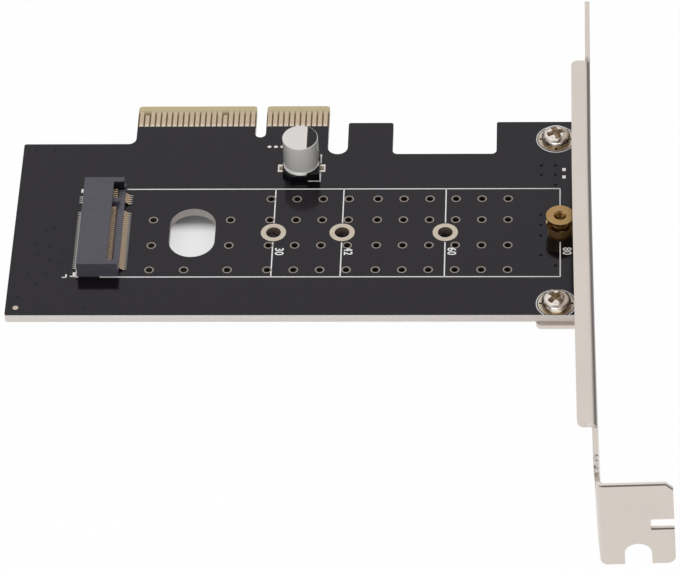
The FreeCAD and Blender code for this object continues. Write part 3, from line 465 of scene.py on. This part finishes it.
MATERIALS |= {
    "can_mark": plain("can_mark", srgb(30, 29, 30), 0.0, 0.34, 0.05, 2.0, specular=0.25),
    # Dark dots: painted shade for holes and dimples that the mesh does not have.
    "dot_faint": plain("dot_faint", srgb(15, 13, 16), 0.0, 0.2, 0.04, 2.0, specular=0.22),
    "dot_dark": plain("dot_dark", srgb(16, 14, 16), 0.0, 0.4, 0.04, 2.0, specular=0.08),
    "solder_mask": mask_material(),
    "gold_contact": contact_material(),
    "land_gold": land_material(),
    "socket_plastic": housing_material(),
    "plated_steel": steel_material(),
    "screw_nickel": screw_material(),
    "standoff_brass": brass_material(),
    "can_aluminium": can_material(),
    "hold_down": hold_down_material(),
    "solder_foot": pin_material("solder_foot", srgb(254, 250, 246), srgb(34, 28, 24)),
    "tail_tin": pin_material("tail_tin", srgb(250, 246, 240), srgb(30, 26, 24)),
    "pin_bright": pin_material("pin_bright", srgb(242, 214, 182), srgb(34, 24, 16)),
}


# ---- dressing the CAD nodes -----------------------------------------------------------------
def edge_round(obj, width, segments=2, angle=30):
    """Breaks the sharp edges, as stamping and moulding do."""
    bevel = obj.modifiers.new("edge_round", "BEVEL")
    bevel.width = width * MM
    bevel.segments = segments
    bevel.limit_method = "ANGLE"
    bevel.angle_limit = math.radians(angle)
    bevel.harden_normals = True
    bevel.use_clamp_overlap = True


def dress(node, material, round_width=0.0, segments=2):
    """Gives a CAD node its looks, and rounded edges where a width is given."""
    obj = frame["nodes"][node]
    if obj.material_slots:
        for slot in obj.material_slots:
            slot.material = MATERIALS[material]
    else:
        obj.data.materials.append(MATERIALS[material])
    if round_width:
        edge_round(obj, round_width, segments)


dress("circuit_board", "solder_mask")
dress("edge_contacts_component_side", "gold_contact")
dress("edge_contacts_solder_side", "gold_contact")
for label in HOLE_NAMES:
    look = "ring_shaded" if label == HOLE_NAMES[-1] else "land_gold"
    dress("position_ring_%smm" % label, look, 0.04)
for side in ("upper", "lower"):
    dress("screw_land_" + side, "land_gold")
    dress("bracket_screw_" + side, "screw_nickel")
dress("bare_pads", "pad_white")
dress("fiducial_mark", "pad_tan")
dress("socket_housing", "socket_plastic", 0.05)
dress("socket_upper_contacts", "tail_tin")
dress("socket_lower_contacts", "pin_bright")
dress("socket_hold_downs", "hold_down", 0.04)
dress("capacitor_base", "base_plastic", 0.1, 3)
dress("capacitor_terminals", "lead_dull", 0.03)
dress("capacitor_pads", "solder_tin")
dress("standoff", "standoff_brass", 0.06)
dress("standoff_nut", "standoff_brass", 0.1)


# ---- making new pieces ----------------------------------------------------------------------
def linked(name, data):
    """A new object in the scene."""
    obj = bpy.data.objects.new(name, data)
    bpy.context.scene.collection.objects.link(obj)
    return obj


def piece(name, points, faces, material, smooth=False):
    """A mesh piece from millimetre points, riding on the part."""
    mesh = bpy.data.meshes.new(name)
    mesh.from_pydata([[v * MM for v in p] for p in points], [], faces)
    mesh.validate()
    mesh.materials.append(MATERIALS[material])
    obj = linked(name, mesh)
    if smooth:
        for polygon in mesh.polygons:
            polygon.use_smooth = True
        mesh.set_sharp_from_angle(angle=math.radians(40))
    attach(obj, "root")
    return obj


class Builder:
    """Collects simple shapes into one mesh."""

    def __init__(self):
        self.points = []
        self.faces = []

    def add(self, points, faces):
        base = len(self.points)
        self.points += points
        self.faces += [[base + i for i in face] for face in faces]

    def prism(self, outline, z0, z1):
        """A flat outline, listed anticlockwise from above, given height."""
        n = len(outline)
        points = [(x, y, z) for z in (z0, z1) for x, y in outline]
        faces = [list(range(n))[::-1], list(range(n, 2 * n))]
        faces += [[i, (i + 1) % n, n + (i + 1) % n, n + i] for i in range(n)]
        self.add(points, faces)

    def bar(self, x0, x1, y0, y1, z0, z1):
        self.prism([(x0, y0), (x1, y0), (x1, y1), (x0, y1)], z0, z1)

    def line(self, start, end, width, z0=0.0, z1=PRINT):
        """A printed line between two places."""
        a, b = Vector(start), Vector(end)
        side = (b - a).normalized().orthogonal() * width / 2
        corners = [a - side, b - side, b + side, a + side]
        if (corners[1] - corners[0]).cross(corners[2] - corners[0]) < 0:
            corners.reverse()
        self.prism([(c.x, c.y) for c in corners], z0, z1)

    def lathe(self, profile, x, y, steps=48, start=0.0, turn=360.0):
        """An (r, z) profile turned about an upright axis; a full turn closes on itself."""
        closed = turn >= 360
        count = steps if closed else steps + 1
        n = len(profile)
        points = []
        for k in range(count):
            angle = math.radians(start + turn * k / steps)
            points += [(x + r * math.cos(angle), y + r * math.sin(angle), z)
                       for r, z in profile]
        faces = []
        for k in range(steps):
            a, b = k * n, ((k + 1) % count) * n
            for i in range(n):
                j = (i + 1) % n
                faces.append([a + i, b + i, b + j, a + j])
        if not closed:
            faces.append(list(range(n)))
            faces.append([(count - 1) * n + i for i in range(n)][::-1])
        self.add(points, faces)

    def ring(self, x, y, inner, outer, z0=0.0, z1=PRINT, steps=64, start=0.0, turn=360.0):
        self.lathe([(inner, z0), (outer, z0), (outer, z1), (inner, z1)], x, y, steps, start, turn)

    def bead(self, middle, radii, rings=6, steps=10):
        """A small rounded lump."""
        (mid_x, mid_y, mid_z), (rad_x, rad_y, rad_z) = middle, radii
        points = []
        for i in range(1, rings):
            polar = math.pi * i / rings
            for k in range(steps):
                angle = 2 * math.pi * k / steps
                points.append((mid_x + rad_x * math.sin(polar) * math.cos(angle),
                               mid_y + rad_y * math.sin(polar) * math.sin(angle),
                               mid_z + rad_z * math.cos(polar)))
        points += [(mid_x, mid_y, mid_z + rad_z), (mid_x, mid_y, mid_z - rad_z)]
        top, bottom = len(points) - 2, len(points) - 1
        faces = []
        for i in range(rings - 2):
            for k in range(steps):
                a, b = i * steps + k, i * steps + (k + 1) % steps
                faces.append([a, a + steps, b + steps, b])
        for k in range(steps):
            faces.append([top, k, (k + 1) % steps])
            base = (rings - 2) * steps
            faces.append([bottom, base + (k + 1) % steps, base + k])
        self.add(points, faces)

    def make(self, name, material, slot, smooth=False):
        return piece(name, self.points, self.faces, material, smooth)


# ---- plated holes, as round eyelets ---------------------------------------------------------
def via_places():
    """Middles of the vias, row by row."""
    places = []
    for row, y in enumerate(VIA_ROWS):
        columns = [first + VIA_STEP * k for first, count in VIA_GROUPS for k in range(count)]
        if row:
            columns += VIA_LEFT
        places += [(x, y) for x in columns]
    places.append((VIA_ODD_X, VIA_ROWS[-1]))
    return places


def eyelets():
    """A bright rim on each face, and the barrel inside it, painted dark as shade."""
    rims = Builder()
    barrels = Builder()
    below = UNDERSIDE
    for x, y in via_places():
        rims.lathe([(VIA_BORE, -0.02), (VIA_RIM, -0.02), (VIA_RIM, 0.03), (0.78, 0.05),
                    (0.68, 0.05), (VIA_BORE, 0.02)], x, y, 32)
        rims.lathe([(VIA_BORE, below - 0.05), (VIA_RIM, below - 0.05), (VIA_RIM, below + 0.02),
                    (VIA_BORE, below + 0.02)], x, y, 32)
        barrels.lathe([(0.5, below - 0.04), (VIA_BORE, below - 0.04), (VIA_BORE, 0.04),
                       (0.5, 0.0)], x, y, 32)
    rims = rims.make("via_rims", "tinned_copper", "tinned_copper", True)
    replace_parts(rims, "plated_vias")
    barrels.make("via_barrels", "barrel_shade", "tinned_copper", True)


eyelets()


# ---- white print ----------------------------------------------------------------------------
def silk_lines():
    """The drive's outline, a line at each position, rings round the screws and small marks."""
    art = Builder()
    width = 0.21
    top, bottom, end = -22.35, -44.45, HOLES[-1]
    art.line((-22.9, top), (end + width / 2, top), width)
    art.line((-26.3, bottom), (end + width / 2, bottom), width)
    clear_of_hole = 2.45
    for x in HOLES:
        art.line((x, top), (x, DRIVE_Y + clear_of_hole), width)
        art.line((x, DRIVE_Y - clear_of_hole), (x, bottom), width)
    outer, inner = 3.5, 3.33
    for x, y in SCREWS:
        to_edge = y - BOARD_LOW[1]
        if to_edge < outer:
            half = math.degrees(math.acos(min(1, to_edge / outer)))
            art.ring(x, y, inner, outer, start=-90 + half, turn=360 - 2 * half)
        else:
            art.ring(x, y, inner, outer)
    for start, stop, thick in (((11.1, -13.4), (11.1, -15.7), 0.2),
                               ((11.1, -18.1), (11.1, -20.3), 0.2),
                               ((11.2, -20.3), (8.9, -20.3), 0.2),
                               ((-31.5, -44.2), (-30.0, -44.45), 0.22),
                               ((-32.15, -43.75), (-32.15, -44.5), 0.28),
                               ((-32.85, -44.5), (-32.05, -44.5), 0.2)):
        art.line(start, stop, thick)
    art.make("silk_lines", "print_white", "solder_mask")


def silk_numbers():
    """Drive lengths beside their positions, reading away from the contact edge."""
    foot_y, squeeze = -37.2, 0.86
    for label, x in zip(HOLE_NAMES, HOLES):
        curve = bpy.data.curves.new("silk_" + label, "FONT")
        curve.body = label
        curve.size = 2.12 * MM
        curve.extrude = PRINT / 2 * MM
        curve.offset = 0.03 * MM
        curve.space_character = 1.05
        source = linked("source_" + label, curve)
        bpy.context.view_layer.update()
        mesh = bpy.data.meshes.new_from_object(source)
        bpy.data.objects.remove(source)
        mesh.materials.clear()
        mesh.materials.append(MATERIALS["print_white"])
        for vertex in mesh.vertices:
            u, v, w = vertex.co
            vertex.co = ((x + 0.5) * MM + v, foot_y * MM - squeeze * u, PRINT / 2 * MM + w)
        number = linked("silk_number_" + label, mesh)
        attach(number, "root")


silk_lines()
silk_numbers()


# ---- screw heads: rounded pans with a cross recess ------------------------------------------
def pan_head(name, x, y, turn, node):
    """A pan head with its shank; the cross is turned by some degrees."""
    radius, height, rise = 2.55, 1.75, 0.05
    rings, steps = 56, 128
    span, width, depth = 3.3, 1.05, 0.85
    wall_slope, end_slope = 0.22, 0.55
    rim_share, dome_power = 0.3, 3.2
    shank_radius, below_sheet, taper = 1.5, 0.8, 0.3
    cosine, sine = math.cos(math.radians(turn)), math.sin(math.radians(turn))

    def recess(dx, dy):
        """How deep the cross lies at a place."""
        u, v = dx * cosine + dy * sine, dy * cosine - dx * sine
        deepest = 0.0
        for a, b in ((abs(u), abs(v)), (abs(v), abs(u))):
            wall = min(1.0, max(0.0, (width / 2 - b) / wall_slope))
            end = min(1.0, max(0.0, (span / 2 - a) / end_slope))
            deepest = max(deepest, wall * end)
        return depth * deepest

    head = Builder()
    points = [(x, y, rise + height - depth)]
    for i in range(1, rings + 1):
        share = i / rings
        r = radius * share
        curve = math.sqrt(max(0.0, 1 - share ** dome_power))
        dome = rim_share + (1 - rim_share) * curve
        for k in range(steps):
            angle = 2 * math.pi * k / steps
            dx, dy = r * math.cos(angle), r * math.sin(angle)
            points.append((x + dx, y + dy, rise + height * dome - recess(dx, dy)))
    for k in range(steps):
        angle = 2 * math.pi * k / steps
        points.append((x + radius * math.cos(angle), y + radius * math.sin(angle), rise))
    faces = [[0, 1 + k, 1 + (k + 1) % steps] for k in range(steps)]
    for i in range(rings):
        for k in range(steps):
            a, b = 1 + i * steps + k, 1 + i * steps + (k + 1) % steps
            faces.append([a, a + steps, b + steps, b])
    faces.append([1 + rings * steps + k for k in range(steps)][::-1])
    head.add(points, faces)
    tip = UNDERSIDE - SHEET - below_sheet
    head.lathe([(AXIS, tip), (shank_radius - taper, tip), (shank_radius, tip + taper),
                (shank_radius, rise), (AXIS, rise)], x, y, 32)
    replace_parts(head.make(name, "screw_nickel", "screw_nickel", True), node)


for (screw_x, screw_y), side, turn in zip(SCREWS, ("upper", "lower"), (20, 45)):
    pan_head("pan_screw_" + side, screw_x, screw_y, turn, "bracket_screw_" + side)


# ---- small trim: holes in the screw lands, closed vias, the thread, solder lumps ------------
def land_holes():
    """Four dark dots round each screw head, where the board's edge leaves room: painted shade for
    small holes.
    """
    dots = Builder()
    spread_radius, radius = 2.72, 0.22
    for x, y in SCREWS:
        for k in range(4):
            angle = math.radians(90 * k)
            place = (x + spread_radius * math.cos(angle), y + spread_radius * math.sin(angle))
            if place[1] - 0.2 > BOARD_LOW[1]:
                dots.ring(place[0], place[1], AXIS, radius, 0.02, 0.06, 16)
    dots.make("land_holes", "dot_dark", "gold_contact")


def standoff_thread():
    """Ridges in the standoff's bore, in darker brass as painted shade."""
    thread = Builder()
    top, pitch, half = 3.75, 0.4, 0.16
    root, crest = 0.84, 0.68
    for k in range(6):
        z = top - pitch * k
        thread.lathe([(root, z - half), (root, z + half), (crest, z)], HOLES[-1], DRIVE_Y, 40)
    thread.make("standoff_thread", "thread_brass_shaded", "standoff_brass", True)


def tented_vias():
    """Vias closed by the mask, which show only as darker dimples: flat dots with painted shade."""
    for name, places, material in (("tented_vias", TENTED, "dot_dark"),
                                   ("tented_vias_left", FAINT, "dot_faint")):
        dimples = Builder()
        for x, y in places:
            dimples.ring(x, y, AXIS, 0.3, 0.0, 0.008, 16)
        dimples.make(name, material, "solder_mask")


def test_pads():
    """Solder lumps on the row of three pads."""
    lumps = Builder()
    for x in TEST_PADS_X:
        lumps.bead((x, TEST_PADS_Y, 0.04), (0.36, 0.28, 0.1), 6, 16)
    lumps.make("test_pad_solder", "solder_white", "solder_tin", True)


land_holes()
tented_vias()
standoff_thread()
test_pads()


# ---- solder on the socket's tails -----------------------------------------------------------
def pin_rows(remainder):
    """Y positions of the socket's odd (1) or even (0) contacts, which skip the key."""
    middle_pin = 38
    return [DRIVE_Y + (pin - middle_pin) * PIN_PITCH / 2 for pin in range(1, 76)
            if pin % 2 == remainder and not 59 <= pin <= 66]


def socket_solder():
    """A bead at the foot of each tail, in front (odd contacts) and at the rear (even ones)."""
    for name, remainder, x, radii in (
            ("socket_front_solder", 1, SOCKET_FRONT_X, (0.27, 0.15, 0.2)),
            ("socket_rear_solder", 0, SOCKET_REAR_X, (0.22, 0.14, 0.17))):
        beads = Builder()
        for y in pin_rows(remainder):
            beads.bead((x, y, 0.05), radii)
        beads.make(name, "solder_foot", "solder_tin", True)


socket_solder()


# ---- bracket: it leans and bows a little, as such a thin fitting does -----------------------
BOW_START, BOW_LENGTH = -28.0, 78.0      # the sheet is straight above this Y
TONGUE_START, TONGUE_LENGTH = -4.0, 18.8
TAIL_START, TAIL_LENGTH = -94.0, 12.0
END_START, END_LENGTH = -100.0, 5.5
LEAN, LEAN_GAIN = 0.013, 0.033           # X for each mm below the plate's high edge
PLATE_TOP, PLATE_X = 14.3, 60.0
TAB_TURN = 0.044                         # Z for each mm across the tab


def bowed(x, y, z):
    """Where a point of the straight sheet lies on the bowed one."""
    along = max(0.0, (BOW_START - y) / BOW_LENGTH)
    over_end = min(1.0, max(0.0, (END_START - y) / END_LENGTH))
    lean = LEAN + LEAN_GAIN * min(1.0, along)
    moved_x = -0.21 + 0.85 * along ** 1.3 + 0.37 * over_end + lean * (PLATE_TOP - z)
    moved_y = 0.96 * max(0.0, y - TONGUE_START) / TONGUE_LENGTH
    moved_y -= 0.55 * max(0.0, TAIL_START - y) / TAIL_LENGTH
    moved_z = TAB_TURN * min(1.0, along) ** 2 * (x - PLATE_X)
    return x + moved_x, y + moved_y, z + moved_z


def bracket_sheet():
    """The bracket's own form, cut across every few millimetres so that it can bow."""
    low, high = extent("bracket")
    cut_step = 5.0
    work = bmesh.new()
    work.from_mesh(frame["nodes"]["bracket"].data)
    station = low[1] + cut_step
    while station < high[1]:
        bmesh.ops.bisect_plane(work, geom=work.verts[:] + work.edges[:] + work.faces[:],
                               plane_co=(0.0, station * MM, 0.0), plane_no=(0.0, 1.0, 0.0))
        station += cut_step
    for vertex in work.verts:
        vertex.co = [v * MM for v in bowed(*[v / MM for v in vertex.co])]
    mesh = bpy.data.meshes.new("bracket_sheet")
    work.to_mesh(mesh)
    work.free()
    mesh.materials.clear()
    mesh.materials.append(MATERIALS["plated_steel"])
    obj = linked("bracket_sheet", mesh)
    edge_round(obj, 0.12, 3)
    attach(obj, "root")
    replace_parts(obj, "bracket")


bracket_sheet()


# ---- capacitor ------------------------------------------------------------------------------
def capacitor():
    """The can with its crimp and rounded crown, and the dark field on the crown."""
    low, high = extent("capacitor_can")
    bottom, top = low[2], high[2] + 0.15
    crimp = ((AXIS - CAP_RADIUS, 0.0), (-0.12, 0.0), (0.0, 0.1), (0.0, 0.38), (-0.1, 0.5),
             (-0.22, 0.62), (-0.24, 0.75), (-0.16, 0.88), (-0.03, 1.0), (0.0, 1.15))
    profile = [(CAP_RADIUS + inward, bottom + rise) for inward, rise in crimp]
    corner, shoulder = 0.14, top - 0.16
    profile.append((CAP_RADIUS, shoulder))
    for k in range(1, 6):
        angle = math.radians(90 * k / 5)
        profile.append((CAP_RADIUS - corner + corner * math.cos(angle),
                        shoulder + corner * math.sin(angle)))
    profile.append((AXIS, top - 0.02))
    can = Builder()
    can.lathe(profile, CAP_X, CAP_Y, 96)
    shell = can.make("capacitor_shell", "can_aluminium", "can_aluminium", True)
    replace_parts(shell, "capacitor_can")
    field = CAP_RADIUS - 0.12
    chord = 1.25
    half = math.acos(chord / field)
    angles = [-half + 2 * half * k / 32 for k in range(33)]
    mark = Builder()
    mark.prism([(CAP_X + field * math.cos(a), CAP_Y + field * math.sin(a)) for a in angles],
               top - 0.04, top - 0.005)
    mark.make("capacitor_polarity_mark", "can_mark", "can_aluminium")


capacitor()


# ---- floor, camera and light ----------------------------------------------------------------
def floor():
    """A wide pale floor: white to the eye and in reflections, with a painted shadow under the
    board, and painted light where it shows through the cooling slot."""
    size = 3.0                           # metres, as is the level
    level = cad_low[2] - 0.00005
    mesh = bpy.data.meshes.new("floor")
    mesh.from_pydata([(-size, -size, level), (size, -size, level), (size, size, level),
                      (-size, size, level)], [], [(0, 1, 2, 3)])
    graph = Graph("floor_white")
    graph.set(color=(0.92, 0.92, 0.92, 1.0), rough=0.9, specular=0.0)
    path = graph.tree.nodes.new("ShaderNodeLightPath").outputs
    seen = graph.math("MAXIMUM", path["Is Camera Ray"], path["Is Glossy Ray"])
    seen = graph.math("MAXIMUM", seen, path["Is Transmission Ray"])
    glow = graph.node("ShaderNodeEmission", Color=(1.0, 1.0, 1.0, 1.0), Strength=1.0)
    x, y = graph.place()[:2]
    left, near_edge = BOARD_LOW[:2]
    right, contact_side = 56.0, -13.0
    shade = 1.0
    for value, start, full in ((x, left + 3.0, left + 6.0), (x, right, right - 2.0),
                               (y, near_edge + 5.0, near_edge + 8.0),
                               (y, contact_side, contact_side - 2.0)):
        shade = graph.times(graph.ramp(value, start, full), shade)
    open_glow, slot_glow = 0.98, 0.56
    lit = graph.times(graph.ramp(y, -26.9, -29.3), graph.ramp(x, -3.0, -6.0), slot_glow)
    share = graph.math("MULTIPLY_ADD", shade, graph.math("SUBTRACT", lit, open_glow), open_glow)
    both = graph.node("ShaderNodeMixShader", i0=graph.times(seen, share),
                      i1=graph.shader.outputs[0], i2=glow.outputs[0])
    graph.tree.links.new(both.outputs[0], graph.tree.nodes["Material Output"].inputs[0])
    mesh.materials.append(graph.material)
    obj = linked("floor", mesh)


def camera():
    """The photograph's camera, as fitted to the card's standard sizes."""
    data = bpy.data.cameras.new("camera")
    data.sensor_width = 36.0
    data.lens = 243.4
    data.clip_start = 0.01
    data.clip_end = 20.0
    obj = linked("camera", data)
    obj.location = (52.68 * MM, -610.73 * MM, 555.73 * MM)
    obj.rotation_euler = (math.radians(45.468), math.radians(1.930), math.radians(1.876))
    bpy.context.scene.camera = obj


def world():
    """Soft light from all round, darker at the horizon so that metal has something to show."""
    made = bpy.data.worlds.new("studio")
    bpy.context.scene.world = made
    made.use_nodes = True
    tree = made.node_tree
    direction = tree.nodes.new("ShaderNodeTexCoord").outputs["Generated"]
    split = tree.nodes.new("ShaderNodeSeparateXYZ")
    tree.links.new(direction, split.inputs[0])
    height = tree.nodes.new("ShaderNodeMapRange")
    height.inputs["From Min"].default_value = -1.0
    tree.links.new(split.outputs[2], height.inputs[0])
    ramp = tree.nodes.new("ShaderNodeValToRGB")
    tree.links.new(height.outputs[0], ramp.inputs[0])
    # Brightness at heights from 0 (straight down) over 0.5 (the horizon) to 1 (straight up).
    stops = [(0.0, 1.0), (0.49, 1.0), (0.5, 0.38), (0.57, 0.4), (0.72, 0.96), (1.0, 1.0)]
    band = ramp.color_ramp
    while len(band.elements) < len(stops):
        band.elements.new(0.5)
    for element, (place, level) in zip(band.elements, stops):
        element.position = place
        element.color = (level, level, level, 1.0)
    # Dimmer in one direction behind the camera, for a slight fall of tone on flat faces.
    facing = tree.nodes.new("ShaderNodeVectorMath")
    facing.operation = "DOT_PRODUCT"
    tree.links.new(direction, facing.inputs[0])
    facing.inputs[1].default_value = (0.0, -0.71, 0.7)
    shade = tree.nodes.new("ShaderNodeMapRange")
    tree.links.new(facing.outputs["Value"], shade.inputs[0])
    for name, value in (("From Min", 0.78), ("From Max", 0.93), ("To Min", 1.0), ("To Max", 0.35)):
        shade.inputs[name].default_value = value
    level = tree.nodes.new("ShaderNodeVectorMath")
    level.operation = "SCALE"
    tree.links.new(ramp.outputs[0], level.inputs[0])
    tree.links.new(shade.outputs[0], level.inputs["Scale"])
    background = tree.nodes["Background"]
    tree.links.new(level.outputs[0], background.inputs["Color"])
    background.inputs["Strength"].default_value = 1.0


def front_light():
    """A soft lamp low on the camera's side, for the upright faces."""
    data = bpy.data.lights.new("front_light", "AREA")
    data.shape = "RECTANGLE"
    data.size, data.size_y = 0.7, 0.35
    data.energy = 2.2
    obj = linked("front_light", data)
    obj.location = (-0.15, -1.0, 0.42)
    aim = Vector((0.01, -0.04, 0.0)) - obj.location
    obj.rotation_euler = aim.to_track_quat("-Z", "Y").to_euler()


floor()
camera()
world()
front_light()
bpy.context.scene.view_settings.view_transform = "Standard"
